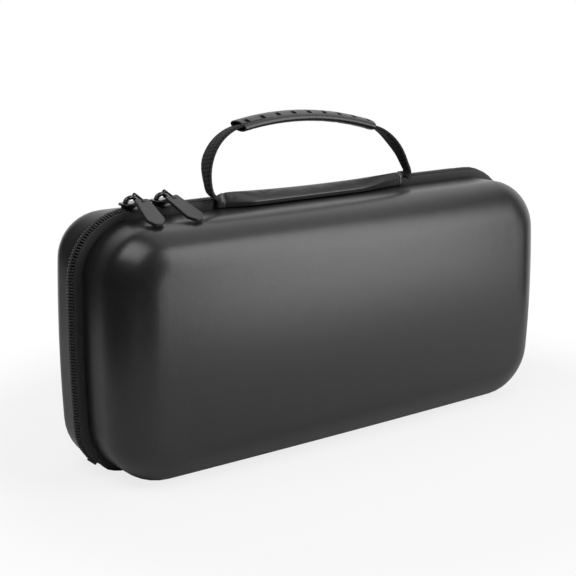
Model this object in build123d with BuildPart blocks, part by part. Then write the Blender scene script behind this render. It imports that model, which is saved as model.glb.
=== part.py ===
"""Hard zip-up case for a hand-held game console, with a carry handle.

Millimetres. X runs along the case, the deep half faces -Y, Z is up and the case stands on Z = 0.
The origin is under the middle of the case.
"""
from build123d import *
import os
from math import cos, radians, sin

os.makedirs("parts", exist_ok=True)

# Edge of the case where the zip runs, seen from the front
case_length = 300.0
case_height = 139.0
end_bow = 2.6
top_radius = 35.0
bottom_radius = 28.0

# Moulded halves, depths measured from the zip plane
wall = 4.5
seam = 3.6
front_depth = 47.0
front_crown_long = 4.5
front_crown_high = 2.5
front_inset = 6.0
front_edge_radius = 21.0
rear_depth = 26.0
rear_inset = 3.0
rear_draft = 0.8
rear_top_radius = 21.0
rear_bottom_radius = 29.0
rear_edge_radius = 10.0

# Zip: coil on the edge of a tape that stands up from the seam
coil_half = 3.2
coil_gap = 0.6
coil_height = 2.4
coil_round = 0.6
tape_thickness = 1.0
tape_turn = 0.8
zip_end = 9.0
stop_length = 2.8
stop_proud = 0.3

# Cloth hinge along the bottom
hinge_lift = 0.3
hinge_thickness = 0.8

# Cloth binding over the raw edges inside
binding_thickness = 0.8
binding_width = 10.0

# Sliders, heights measured from the crest of the coil and places from the case's end
slider_length = 12.0
slider_width = 9.6
slider_gap = 0.4
slider_plate = 1.3
slider_wing = 0.8
slider_wing_drop = 2.2
slider_keel_drop = 4.2
slider_keel = 1.1
slider_keel_width = 4.2
slider_post = 2.2
left_slider_set = 35.5
right_slider_set = 53.5

# Bridge on each slider, the wire link through it and the pull tab
bridge_length = 9.2
bridge_opening = 5.6
bridge_width = 1.9
bridge_bar = 1.9
bar_height = 4.5
link_wire = 1.1
link_radius = 2.0
link_reach = 7.0
left_link_shift = 1.9
right_link_shift = 1.4
tab_slope = 24.5
left_tab_skew = -8.0
right_tab_skew = 7.0
tab_top_width = 7.8
tab_width = 9.8
tab_tip_width = 3.8
tab_length = 23.8
tab_shoulder = 19.5
tab_thickness = 2.0
tab_eye_bar = 0.9
tab_eye_length = 2.1
tab_eye_width = 1.9

# Handle: webbing that comes out of a sewn sleeve, with a grip round its middle
handle_lean = 11.3
handle_set = 4.0
handle_half_span = 70.0
handle_rise = 40.0
foot_lift = 0.6
foot_turn = 5.2
left_foot_out = 1.3
left_foot_in = 3.7
right_foot_out = -4.1
right_foot_in = 6.3
webbing_width = 11.0
webbing_thickness = 1.8
grip_width = 14.0
grip_thickness = 4.0
grip_round = 1.6
grip_slots = 9
grip_slot_pitch = 10.4
grip_slot_length = 4.4
grip_slot_width = 2.6
grip_slot_depth = 0.5
sleeve_depth = 8.6
sleeve_rise = 2.2
sleeve_gap = 0.4

# Inside: foam tray in the deep half, net pocket in the shallow half
tray_fit = 0.4
tray_top = 17.0
tray_floor = 30.0
tray_side = 3.5
tray_thumb_depth = 8.0
thumb_radius = 14.0
net_set = 6.0
net_fit = 0.4
net_thickness = 0.6
net_top = 95.0
hem_height = 8.0
hem_thickness = 1.2

clearance = 0.1

# Values that follow from the sizes above
zip_y = (front_depth - rear_depth) / 2
front_radius = top_radius - front_inset
front_lower_radius = bottom_radius + 3.0
tape_edge = coil_height + clearance
ledge = case_height - front_inset
mid_height = case_height / 2
hinge_end = zip_end - stop_length - clearance
left_slider_x = left_slider_set - case_length / 2
right_slider_x = right_slider_set - case_length / 2
bridge_foot = case_height + slider_gap + slider_plate / 2
bridge_top = case_height + bar_height + bridge_bar / 2
sleeve_back = zip_y - seam - clearance
sleeve_front = sleeve_back - sleeve_depth
sleeve_foot = ledge + clearance
sleeve_top = case_height + sleeve_rise
handle_plane = Plane(
    origin=(0, zip_y - handle_set, case_height),
    x_dir=(1, 0, 0),
    z_dir=(0, -cos(radians(handle_lean)), sin(radians(handle_lean))),
)


def ahead(distance):
    """Upright plane that far in front of the zip; its X is the case's X and its Y is Z."""
    return Plane.XZ.offset(distance - zip_y)


def outline(ends, top, bottom, upper_radius, lower_radius):
    """Bowed outline of the case, moved in by the given amounts."""
    half = case_length / 2 - ends
    high = case_height - top
    middle = (high + bottom) / 2
    with BuildSketch() as shape:
        with BuildLine():
            Line((-half, bottom), (half, bottom))
            ThreePointArc((half, bottom), (half + end_bow, middle), (half, high))
            Line((half, high), (-half, high))
            ThreePointArc((-half, high), (-half - end_bow, middle), (-half, bottom))
        make_face()
        fillet(shape.vertices().group_by(Axis.Y)[0], lower_radius)
        fillet(shape.vertices().group_by(Axis.Y)[-1], upper_radius)
    return shape.sketch


def front_outline(inset):
    """Outline of the deep half, moved in all round."""
    ends = front_inset + inset
    return outline(ends, ends, inset, front_radius - inset, front_lower_radius - inset)


def rear_outline(inset):
    """Outline of the shallow half at the seam, moved in all round."""
    ends = rear_inset + inset
    return outline(ends, ends, inset, top_radius - ends, bottom_radius - inset)


def rear_back_outline(inset):
    """Outline of the shallow half at its back, moved in all round."""
    ends = rear_inset + rear_draft + inset
    return outline(ends, ends, inset, rear_top_radius - inset, rear_bottom_radius - inset)


def rim_outline(inset):
    """Outline of the zip's edge, moved in all round."""
    return outline(inset, inset, inset, top_radius - inset, bottom_radius - inset)


def tape_outline(inset):
    """Outer edge of the tape, moved in all round; it clears the hinge along the bottom."""
    edge = tape_edge + inset
    low = hinge_lift + hinge_thickness + clearance + inset
    return outline(edge, edge, low, top_radius - edge, bottom_radius - edge)


def tab_plane(link_x, skew):
    """Sloping plane of a pull tab, turned a little in itself, with the link's far bend at its origin."""
    slope = radians(tab_slope)
    place = (link_x, zip_y - link_reach, case_height + bar_height)
    return Plane(origin=place, x_dir=(1, 0, 0), z_dir=(0, -sin(slope), cos(slope))).rotated((0, 0, skew))


def tab_outline():
    """Flat outline of a pull tab."""
    with BuildSketch() as shape:
        with BuildLine():
            Polyline(
                (-tab_top_width / 2, tab_eye_bar),
                (tab_top_width / 2, tab_eye_bar),
                (tab_width / 2, -tab_shoulder),
                (tab_tip_width / 2, -tab_length),
                (-tab_tip_width / 2, -tab_length),
                (-tab_width / 2, -tab_shoulder),
                close=True,
            )
        make_face()
        fillet(shape.vertices(), tab_eye_bar)
        with Locations((0, -tab_eye_bar - tab_eye_length / 2)):
            RectangleRounded(tab_eye_width, tab_eye_length, tab_eye_width / 4, mode=Mode.SUBTRACT)
    return shape.sketch


# Crowned surface that the front face follows
with BuildPart() as front_barrel:
    barrel_half = case_length / 2 + end_bow
    barrel_radius = (mid_height**2 + front_crown_high**2) / (2 * front_crown_high)
    barrel_front = zip_y - front_depth
    barrel_axis = barrel_front + barrel_radius
    with BuildSketch(Plane.XY.offset(mid_height)):
        with BuildLine():
            ThreePointArc(
                (-barrel_half, barrel_front + front_crown_long),
                (0, barrel_front),
                (barrel_half, barrel_front + front_crown_long),
            )
            Line((barrel_half, barrel_front + front_crown_long), (barrel_half, barrel_axis))
            Line((barrel_half, barrel_axis), (-barrel_half, barrel_axis))
            Line((-barrel_half, barrel_axis), (-barrel_half, barrel_front + front_crown_long))
        make_face()
    revolve(axis=Axis((0, barrel_axis, mid_height), (1, 0, 0)))

# Hollow of the deep half
with BuildPart() as front_hollow:
    with BuildSketch(ahead(seam - wall)):
        add(front_outline(wall))
    extrude(amount=front_depth)
    with Locations((0, wall, 0)):
        add(front_barrel.part, mode=Mode.INTERSECT)
    fillet(front_hollow.faces().sort_by(Axis.Y)[0].edges(), front_edge_radius - wall)

# Deep half: moulded foam with a smooth skin
with BuildPart() as front_shell:
    with BuildSketch(ahead(seam)):
        add(front_outline(0))
    extrude(amount=front_depth)
    add(front_barrel.part, mode=Mode.INTERSECT)
    fillet(front_shell.faces().sort_by(Axis.Y)[0].edges(), front_edge_radius)
    add(front_hollow.part, mode=Mode.SUBTRACT)
front_shell.part.label = "front_shell"
export_step(front_shell.part, "parts/front_shell.step")

# Hollow of the shallow half
with BuildPart() as rear_hollow:
    with BuildSketch(ahead(wall - seam)):
        add(rear_outline(wall))
    with BuildSketch(ahead(wall - rear_depth)):
        add(rear_back_outline(wall))
    loft(ruled=True)
    fillet(rear_hollow.faces().sort_by(Axis.Y)[-1].edges(), rear_edge_radius - wall)

# Shallow half: moulded foam with a smooth skin
with BuildPart() as rear_shell:
    with BuildSketch(ahead(-seam)):
        add(rear_outline(0))
    with BuildSketch(ahead(-rear_depth)):
        add(rear_back_outline(0))
    loft(ruled=True)
    fillet(rear_shell.faces().sort_by(Axis.Y)[-1].edges(), rear_edge_radius)
    add(rear_hollow.part, mode=Mode.SUBTRACT)
rear_shell.part.label = "rear_shell"
export_step(rear_shell.part, "parts/rear_shell.step")

# Front zip tape: stands on the seam and turns in under the coil
with BuildPart() as front_zip_tape:
    with BuildSketch(ahead(seam - tape_thickness)):
        add(tape_outline(0))
        add(front_outline(wall), mode=Mode.SUBTRACT)
    extrude(amount=tape_thickness)
    with BuildSketch(ahead(coil_gap + clearance)):
        add(tape_outline(0))
        add(tape_outline(tape_turn), mode=Mode.SUBTRACT)
        with Locations((0, zip_end / 2)):
            Rectangle(2 * case_length, zip_end, mode=Mode.SUBTRACT)
    extrude(amount=seam - tape_thickness - coil_gap - clearance)
front_zip_tape.part.label = "front_zip_tape"
export_step(front_zip_tape.part, "parts/front_zip_tape.step")

# Rear zip tape: the same on the shallow half
with BuildPart() as rear_zip_tape:
    with BuildSketch(ahead(tape_thickness - seam)):
        add(tape_outline(0))
        add(rear_outline(wall), mode=Mode.SUBTRACT)
    extrude(amount=-tape_thickness)
    with BuildSketch(ahead(-coil_gap - clearance)):
        add(tape_outline(0))
        add(tape_outline(tape_turn), mode=Mode.SUBTRACT)
        with Locations((0, zip_end / 2)):
            Rectangle(2 * case_length, zip_end, mode=Mode.SUBTRACT)
    extrude(amount=-(seam - tape_thickness - coil_gap - clearance))
rear_zip_tape.part.label = "rear_zip_tape"
export_step(rear_zip_tape.part, "parts/rear_zip_tape.step")

# Front coil: nylon bead on the edge of the tape, open along the bottom
with BuildPart() as front_zip_coil:
    with BuildSketch(ahead(coil_gap)):
        add(rim_outline(0))
        add(tape_outline(-clearance), mode=Mode.SUBTRACT)
        with Locations((0, zip_end / 2)):
            Rectangle(2 * case_length, zip_end, mode=Mode.SUBTRACT)
    extrude(amount=coil_half - coil_gap)
    fillet(front_zip_coil.edges().filter_by(lambda edge: edge.length > 2 * coil_half), coil_round)
front_zip_coil.part.label = "front_zip_coil"
export_step(front_zip_coil.part, "parts/front_zip_coil.step")

# Rear coil: its mirror image across the zip plane
with BuildPart() as rear_zip_coil:
    mirror(front_zip_coil.part, about=ahead(0))
rear_zip_coil.part.label = "rear_zip_coil"
export_step(rear_zip_coil.part, "parts/rear_zip_coil.step")

# Stops under the two ends of the front coil
with BuildPart() as front_zip_stops:
    with BuildSketch(ahead(coil_gap - clearance)):
        add(rim_outline(-stop_proud))
        add(tape_outline(-clearance), mode=Mode.SUBTRACT)
        with Locations((0, zip_end - stop_length / 2)):
            Rectangle(2 * case_length, stop_length, mode=Mode.INTERSECT)
    extrude(amount=coil_half - coil_gap + 2 * clearance)
front_zip_stops.part.label = "front_zip_stops"
export_step(front_zip_stops.part, "parts/front_zip_stops.step")

# Stops under the two ends of the rear coil
with BuildPart() as rear_zip_stops:
    mirror(front_zip_stops.part, about=ahead(0))
rear_zip_stops.part.label = "rear_zip_stops"
export_step(rear_zip_stops.part, "parts/rear_zip_stops.step")

# Cloth hinge between the two halves, just clear of the ground, turned up at both corners to the zip
with BuildPart() as hinge_strip:
    with BuildSketch(ahead(clearance - seam)):
        add(rim_outline(hinge_lift))
        add(rim_outline(hinge_lift + hinge_thickness), mode=Mode.SUBTRACT)
        with Locations((0, hinge_end / 2)):
            Rectangle(2 * case_length, hinge_end, mode=Mode.INTERSECT)
    extrude(amount=2 * (seam - clearance))
hinge_strip.part.label = "hinge_strip"
export_step(hinge_strip.part, "parts/hinge_strip.step")

# Binding round the inside of the deep half's mouth
with BuildPart() as front_binding:
    with BuildSketch(ahead(seam)):
        add(front_outline(wall + clearance))
        add(front_outline(wall + binding_thickness), mode=Mode.SUBTRACT)
    extrude(amount=binding_width)
front_binding.part.label = "front_binding"
export_step(front_binding.part, "parts/front_binding.step")

# Binding round the inside of the shallow half's mouth, along its sloping wall
with BuildPart() as rear_binding:
    with BuildSketch(ahead(wall - seam)):
        add(rear_outline(wall + clearance))
    with BuildSketch(ahead(wall - rear_depth)):
        add(rear_back_outline(wall + clearance))
    loft(ruled=True)
    with BuildSketch(ahead(wall - seam)):
        add(rear_outline(wall + binding_thickness))
    with BuildSketch(ahead(wall - rear_depth)):
        add(rear_back_outline(wall + binding_thickness))
    loft(ruled=True, mode=Mode.SUBTRACT)
    split(bisect_by=ahead(-seam), keep=Keep.BOTTOM)
    split(bisect_by=ahead(-seam - binding_width), keep=Keep.TOP)
rear_binding.part.label = "rear_binding"
export_step(rear_binding.part, "parts/rear_binding.step")

# Left slider: top plate with wings, a keel under the coil, a post and a bridge
with BuildPart() as left_slider:
    with BuildSketch(Plane.XY.offset(case_height + slider_gap)):
        with Locations((left_slider_x, zip_y)):
            RectangleRounded(slider_length, slider_width, slider_width / 4)
    extrude(amount=slider_plate)
    fillet(left_slider.faces().sort_by(Axis.Z)[-1].edges(), slider_plate / 3)
    with BuildSketch(Plane.XY.offset(case_height - slider_wing_drop)):
        with Locations((left_slider_x, zip_y)):
            with GridLocations(0, slider_width - slider_wing, 1, 2):
                Rectangle(slider_length - slider_width / 2, slider_wing)
    extrude(amount=slider_wing_drop + slider_gap + slider_plate / 2)
    with BuildSketch(Plane.XY.offset(case_height - slider_keel_drop - slider_keel)):
        with Locations((left_slider_x, zip_y)):
            RectangleRounded(slider_length * 0.75, slider_keel_width, slider_keel_width / 3)
    extrude(amount=slider_keel)
    with BuildSketch(Plane.XY.offset(case_height - slider_keel_drop - slider_keel / 2)):
        with Locations((left_slider_x + slider_length * 0.27, zip_y)):
            Rectangle(slider_post, 2 * (coil_gap - 2 * clearance))
    extrude(amount=slider_keel_drop + slider_keel / 2 + slider_gap + slider_plate / 2)
    with BuildSketch(ahead(-bridge_width / 2)):
        with Locations((left_slider_x, bridge_foot)):
            Rectangle(bridge_length, bridge_top - bridge_foot, align=(Align.CENTER, Align.MIN))
            Rectangle(
                bridge_opening,
                bridge_top - bridge_bar - bridge_foot,
                align=(Align.CENTER, Align.MIN),
                mode=Mode.SUBTRACT,
            )
    extrude(amount=bridge_width)
    fillet(left_slider.faces().sort_by(Axis.Z)[-1].edges().filter_by(Axis.Y), bridge_bar * 0.8)
left_slider.part.label = "left_slider"
export_step(left_slider.part, "parts/left_slider.step")

# Right slider: the mirror image, facing the left one
with BuildPart() as right_slider:
    with Locations((left_slider_x + right_slider_x, 0, 0)):
        add(mirror(left_slider.part, about=Plane.YZ, mode=Mode.PRIVATE))
right_slider.part.label = "right_slider"
export_step(right_slider.part, "parts/right_slider.step")

# Left wire link: loop through the bridge, reaching forward
with BuildPart() as left_pull_link:
    with BuildSketch(Plane.YZ.offset(left_slider_x + left_link_shift - link_wire / 2)):
        with Locations((zip_y - link_reach / 2, case_height + bar_height)):
            SlotCenterToCenter(link_reach, 2 * link_radius + link_wire)
            SlotCenterToCenter(link_reach, 2 * link_radius - link_wire, mode=Mode.SUBTRACT)
    extrude(amount=link_wire)
    fillet(left_pull_link.edges().group_by(Axis.X)[0], link_wire * 0.4)
    fillet(left_pull_link.edges().group_by(Axis.X)[-1], link_wire * 0.4)
left_pull_link.part.label = "left_pull_link"
export_step(left_pull_link.part, "parts/left_pull_link.step")

# Right wire link
with BuildPart() as right_pull_link:
    with Locations((right_slider_x + right_link_shift - left_slider_x - left_link_shift, 0, 0)):
        add(left_pull_link.part)
right_pull_link.part.label = "right_pull_link"
export_step(right_pull_link.part, "parts/right_pull_link.step")

# Left pull tab: flat, with a cut tip and an eye for the link
with BuildPart() as left_pull_tab:
    with BuildSketch(tab_plane(left_slider_x + left_link_shift, left_tab_skew)):
        add(tab_outline())
    extrude(amount=tab_thickness / 2, both=True)
left_pull_tab.part.label = "left_pull_tab"
export_step(left_pull_tab.part, "parts/left_pull_tab.step")

# Right pull tab
with BuildPart() as right_pull_tab:
    with BuildSketch(tab_plane(right_slider_x + right_link_shift, right_tab_skew)):
        add(tab_outline())
    extrude(amount=tab_thickness / 2, both=True)
right_pull_tab.part.label = "right_pull_tab"
export_step(right_pull_tab.part, "parts/right_pull_tab.step")

# Middle line of the handle in its own plane, from one end of the sleeve over to the other
with BuildLine() as handle_line:
    left_foot = TangentArc(
        (-handle_half_span + left_foot_in, foot_lift),
        (-handle_half_span - left_foot_out, foot_turn),
        tangent=(-1, 0),
    )
    left_leg = TangentArc(
        left_foot @ 1, (-0.83 * handle_half_span, 0.79 * handle_rise), tangent=left_foot % 1
    )
    left_bend = TangentArc(
        left_leg @ 1, (-0.67 * handle_half_span, 0.90 * handle_rise), tangent=left_leg % 1
    )
    grip_line = TangentArc(
        left_bend @ 1, (0.62 * handle_half_span, 0.77 * handle_rise), tangent=left_bend % 1
    )
    right_bend = TangentArc(
        grip_line @ 1, (0.915 * handle_half_span, 0.22 * handle_rise), tangent=grip_line % 1
    )
    right_leg = TangentArc(
        right_bend @ 1, (handle_half_span + right_foot_out, 0.8 * foot_turn), tangent=right_bend % 1
    )
    right_foot = TangentArc(
        right_leg @ 1, (handle_half_span - right_foot_in, foot_lift), tangent=right_leg % 1
    )

# Webbing: narrow at its feet, which stand in front of the zip and leave the sliders' way free
with BuildPart() as handle_webbing:
    with BuildSketch(handle_plane):
        trace(handle_line.line, line_width=webbing_thickness)
    extrude(amount=webbing_width / 2, both=True)
    with Locations((0, zip_y - seam - clearance, bridge_top + slider_gap)):
        Box(
            2 * case_length,
            2 * webbing_width,
            2 * webbing_width,
            align=(Align.CENTER, Align.MIN, Align.MAX),
            mode=Mode.SUBTRACT,
        )
handle_webbing.part.label = "handle_webbing"
export_step(handle_webbing.part, "parts/handle_webbing.step")

# Grip: thick sleeve round the middle of the webbing, slotted above and below
with BuildPart() as handle_grip:
    with BuildSketch(handle_plane):
        trace(grip_line, line_width=grip_thickness)
    extrude(amount=grip_width / 2, both=True)
    fillet(handle_grip.edges().filter_by(GeomType.CIRCLE), grip_round)
    with BuildSketch(handle_plane):
        trace(grip_line, line_width=webbing_thickness + 2 * clearance)
    extrude(amount=webbing_width / 2 + clearance, both=True, mode=Mode.SUBTRACT)
    with BuildSketch(handle_plane):
        for number in range(grip_slots):
            along = 0.5 + (number - (grip_slots - 1) / 2) * grip_slot_pitch / grip_line.length
            with Locations(Location(grip_line @ along, grip_line.tangent_angle_at(along))):
                with GridLocations(0, grip_thickness, 1, 2):
                    Rectangle(grip_slot_width, 2 * grip_slot_depth)
    extrude(amount=grip_slot_length / 2, both=True, mode=Mode.SUBTRACT)
handle_grip.part.label = "handle_grip"
export_step(handle_grip.part, "parts/handle_grip.step")

# Sleeve: soft cover over the foot of the webbing, from the top rim down to the ledge
with BuildPart() as handle_sleeve:
    with BuildSketch(Plane.YZ.offset(-handle_half_span + left_foot_in + sleeve_gap)):
        with BuildLine():
            Line((sleeve_back, sleeve_foot), (sleeve_front, sleeve_foot))
            ThreePointArc(
                (sleeve_front, sleeve_foot),
                (0.4 * sleeve_back + 0.6 * sleeve_front, 0.3 * sleeve_foot + 0.7 * sleeve_top),
                (sleeve_back, sleeve_top),
            )
            Line((sleeve_back, sleeve_top), (sleeve_back, sleeve_foot))
        make_face()
    extrude(amount=2 * handle_half_span - left_foot_in - right_foot_in - 2 * sleeve_gap)
handle_sleeve.part.label = "handle_sleeve"
export_step(handle_sleeve.part, "parts/handle_sleeve.step")

# Hollow of the foam tray
with BuildPart() as tray_hollow:
    with BuildSketch(ahead(tray_top - tray_side)):
        add(front_outline(wall + tray_fit + tray_side))
    extrude(amount=tray_floor - tray_top + tray_side)
    fillet(tray_hollow.faces().sort_by(Axis.Y)[0].edges(), front_edge_radius - wall - tray_fit - tray_side)

# Foam tray that holds the console, with a thumb notch at each end
with BuildPart() as console_cradle:
    with BuildSketch(ahead(tray_top)):
        add(front_outline(wall + tray_fit))
    extrude(amount=front_depth)
    with Locations((0, wall + tray_fit, 0)):
        add(front_barrel.part, mode=Mode.INTERSECT)
    fillet(console_cradle.faces().sort_by(Axis.Y)[0].edges(), front_edge_radius - wall - tray_fit)
    add(tray_hollow.part, mode=Mode.SUBTRACT)
    with BuildSketch(Plane.YZ):
        with Locations((zip_y - tray_top, mid_height)):
            Ellipse(tray_thumb_depth, thumb_radius)
    extrude(amount=case_length, both=True, mode=Mode.SUBTRACT)
console_cradle.part.label = "console_cradle"
export_step(console_cradle.part, "parts/console_cradle.step")

# Net pocket across the lower part of the shallow half
with BuildPart() as mesh_pocket:
    with BuildSketch(ahead(-net_set)):
        add(rear_outline(wall + binding_thickness + net_fit))
        with Locations((0, net_top / 2)):
            Rectangle(2 * case_length, net_top, mode=Mode.INTERSECT)
    extrude(amount=-net_thickness)
mesh_pocket.part.label = "mesh_pocket"
export_step(mesh_pocket.part, "parts/mesh_pocket.step")

# Elastic hem along the top of the net
with BuildPart() as pocket_hem:
    with BuildSketch(ahead(-net_set + (hem_thickness - net_thickness) / 2)):
        add(rear_outline(wall + binding_thickness + net_fit))
        with Locations((0, net_top + hem_height / 2)):
            Rectangle(2 * case_length, hem_height, mode=Mode.INTERSECT)
    extrude(amount=-hem_thickness)
pocket_hem.part.label = "pocket_hem"
export_step(pocket_hem.part, "parts/pocket_hem.step")
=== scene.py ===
import bmesh
import bpy
from math import cos, pi, radians, sin
from mathutils import Matrix, Vector


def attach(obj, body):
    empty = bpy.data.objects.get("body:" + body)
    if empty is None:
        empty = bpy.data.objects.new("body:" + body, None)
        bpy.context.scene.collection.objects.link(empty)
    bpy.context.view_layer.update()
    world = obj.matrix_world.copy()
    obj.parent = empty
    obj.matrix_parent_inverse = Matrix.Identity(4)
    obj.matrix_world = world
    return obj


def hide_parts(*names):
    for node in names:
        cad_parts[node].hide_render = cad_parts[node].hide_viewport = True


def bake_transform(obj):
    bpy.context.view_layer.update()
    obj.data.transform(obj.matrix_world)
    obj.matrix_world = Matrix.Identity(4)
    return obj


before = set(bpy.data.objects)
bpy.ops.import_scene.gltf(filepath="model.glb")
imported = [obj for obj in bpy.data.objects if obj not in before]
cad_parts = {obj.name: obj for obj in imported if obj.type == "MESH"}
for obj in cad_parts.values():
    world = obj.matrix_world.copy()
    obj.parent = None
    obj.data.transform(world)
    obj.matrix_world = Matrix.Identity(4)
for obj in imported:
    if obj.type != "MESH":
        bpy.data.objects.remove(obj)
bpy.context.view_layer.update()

# Camera. A fairly long lens, a little above the case and to the left of its front, as in the photograph.
# It looks a little down, with upright lines kept nearly upright.
camera = bpy.data.objects.new("camera", bpy.data.cameras.new("camera"))
camera.data.lens = 78.95
camera.data.sensor_width = 36.0
camera.location = (-0.42611, -0.54173, 0.25041)
camera.rotation_euler = Vector((0.5789, 0.7800, -0.2379)).to_track_quat("-Z", "Y").to_euler()
bpy.context.scene.collection.objects.link(camera)
bpy.context.scene.camera = camera

# Deep half. Foam pressed hot over a tool with its coated skin on the outside and brushed lining inside:
# a rounded tub with slightly bowed ends, a crowned front and large soft edges.
zip_plane = 0.0105
case_half = 0.150
case_high = 0.139
end_bow = 0.0026
wall = 0.0045


def linear(colour):
    """Turns an sRGB hex colour into the linear values that shaders take."""
    parts = [int(colour[i : i + 2], 16) / 255 for i in (1, 3, 5)]
    return tuple(c / 12.92 if c <= 0.04045 else ((c + 0.055) / 1.055) ** 2.4 for c in parts) + (1.0,)


def add_node(tree, kind, settings=None, values=None, links=None):
    """Adds a node, gives it its settings and input values, and links its inputs."""
    node = tree.nodes.new(kind)
    for name, value in (settings or {}).items():
        setattr(node, name, value)
    for name, value in (values or {}).items():
        node.inputs[name].default_value = value
    for name, source in (links or {}).items():
        tree.links.new(source, node.inputs[name])
    return node


def new_finish(name):
    """Starts an empty material and returns it with its node tree."""
    finish = bpy.data.materials.new(name)
    finish.use_nodes = True
    finish.node_tree.nodes.clear()
    return finish, finish.node_tree


def show(tree, shader):
    """Links a shader to the material's output."""
    add_node(tree, "ShaderNodeOutputMaterial", links={"Surface": shader.outputs[0]})


def piece(name, bm, finishes, body, slot, *nodes):
    """Turns a bmesh into a smooth piece that rides a body, if it has one, and stands for its nodes."""
    mesh = bpy.data.meshes.new(name)
    bm.to_mesh(mesh)
    bm.free()
    mesh.shade_smooth()
    for finish in finishes:
        mesh.materials.append(finish)
    made = bpy.data.objects.new(name, mesh)
    bpy.context.scene.collection.objects.link(made)
    if body:
        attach(made, body)
    if nodes:
        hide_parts(*nodes)
    return made


def case_face(bm, ends, top, bottom, upper, lower, depth, long_cuts=20, end_cuts=8):
    """Adds a face with the case's outline, moved in by the given amounts, at a depth from the zip plane."""
    half = case_half - ends
    high = case_high - top
    middle = (high + bottom) / 2
    reach = (high - bottom) / 2
    before = set(bm.faces)
    place = Matrix.Translation((0, zip_plane - depth, middle)) @ Matrix.Rotation(pi / 2, 4, "X")
    place = place @ Matrix.Diagonal((half, reach, 1, 1))
    corners = bmesh.ops.create_grid(bm, x_segments=1, y_segments=1, size=1, matrix=place)["verts"]
    upper_corners = [v for v in corners if v.co.z > middle]
    lower_corners = [v for v in corners if v.co.z < middle]
    # The bow of the ends takes a little of each corner's radius
    for group, radius in ((upper_corners, upper * 0.945), (lower_corners, lower * 0.945)):
        bmesh.ops.bevel(
            bm, geom=group, offset=radius, offset_type="OFFSET", segments=10, profile=0.5,
            affect="VERTICES", material=-1,
        )
    face = [f for f in bm.faces if f not in before][0]
    long_edges = sorted(face.edges, key=lambda e: -abs(e.verts[0].co.x - e.verts[1].co.x))[:2]
    end_edges = sorted(face.edges, key=lambda e: -abs(e.verts[0].co.z - e.verts[1].co.z))[:2]
    bmesh.ops.bisect_edges(bm, edges=long_edges, cuts=long_cuts)
    bmesh.ops.bisect_edges(bm, edges=end_edges, cuts=end_cuts)
    for loop in face.loops:
        across = (loop.vert.co.z - middle) / reach
        loop.vert.co.x += end_bow * (1 - across * across) * (1 if loop.vert.co.x > 0 else -1)
    return face


def join_faces(bm, faces, keep_first=False, keep_last=False):
    """Skins the faces' outlines one to the next, and opens the ends that aren't kept."""
    rings = [list(face.edges) for face in faces]
    opened = faces[(1 if keep_first else 0) : (len(faces) - 1 if keep_last else len(faces))]
    bmesh.ops.delete(bm, geom=opened, context="FACES_ONLY")
    for ring, following in zip(rings, rings[1:]):
        bmesh.ops.bridge_loops(bm, edges=ring + following)


def cut_across(bm, faces_of, normal, places):
    """Cuts the chosen faces with parallel planes."""
    for place in places:
        faces = [f for f in bm.faces if faces_of(f)]
        edges = {e for f in faces for e in f.edges}
        verts = {v for f in faces for v in f.verts}
        bmesh.ops.bisect_plane(
            bm, geom=list(verts) + list(edges) + faces, dist=1e-6, plane_co=place, plane_no=normal,
        )


# Coated skin on foam: black, satin, very slightly uneven, with a fine pore that softens the gloss.
# The pore is about 0.3 mm and is drawn at 0.9 mm, so that it shows; the unevenness is about 9 mm across.
shell_skin, tree = new_finish("satin_coated_skin_black")
place = add_node(tree, "ShaderNodeTexCoord")
mottle = add_node(
    tree, "ShaderNodeTexNoise", values={"Scale": 1 / 0.009, "Detail": 4.0, "Roughness": 0.6},
    links={"Vector": place.outputs["Object"]},
)
pore = add_node(
    tree, "ShaderNodeTexNoise", values={"Scale": 1 / 0.0009, "Detail": 2.0, "Roughness": 0.5},
    links={"Vector": place.outputs["Object"]},
)
tone = add_node(tree, "ShaderNodeValToRGB", links={"Fac": mottle.outputs["Fac"]})
tone.color_ramp.elements[0].position = 0.3
tone.color_ramp.elements[0].color = linear("#171717")
tone.color_ramp.elements[1].position = 0.7
tone.color_ramp.elements[1].color = linear("#1b1b1b")
gloss = add_node(
    tree, "ShaderNodeMapRange", values={"From Min": 0.3, "From Max": 0.7, "To Min": 0.28, "To Max": 0.34},
    links={"Value": pore.outputs["Fac"]},
)
relief = add_node(
    tree, "ShaderNodeBump", values={"Strength": 0.5, "Distance": 0.00003},
    links={"Height": pore.outputs["Fac"]},
)
swell = add_node(
    tree, "ShaderNodeBump", values={"Strength": 0.4, "Distance": 0.0002},
    links={"Height": mottle.outputs["Fac"], "Normal": relief.outputs["Normal"]},
)
shader = add_node(
    tree, "ShaderNodeBsdfPrincipled", values={"IOR": 1.5},
    links={
        "Base Color": tone.outputs["Color"], "Roughness": gloss.outputs["Result"],
        "Normal": swell.outputs["Normal"],
    },
)
show(tree, shader)

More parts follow.
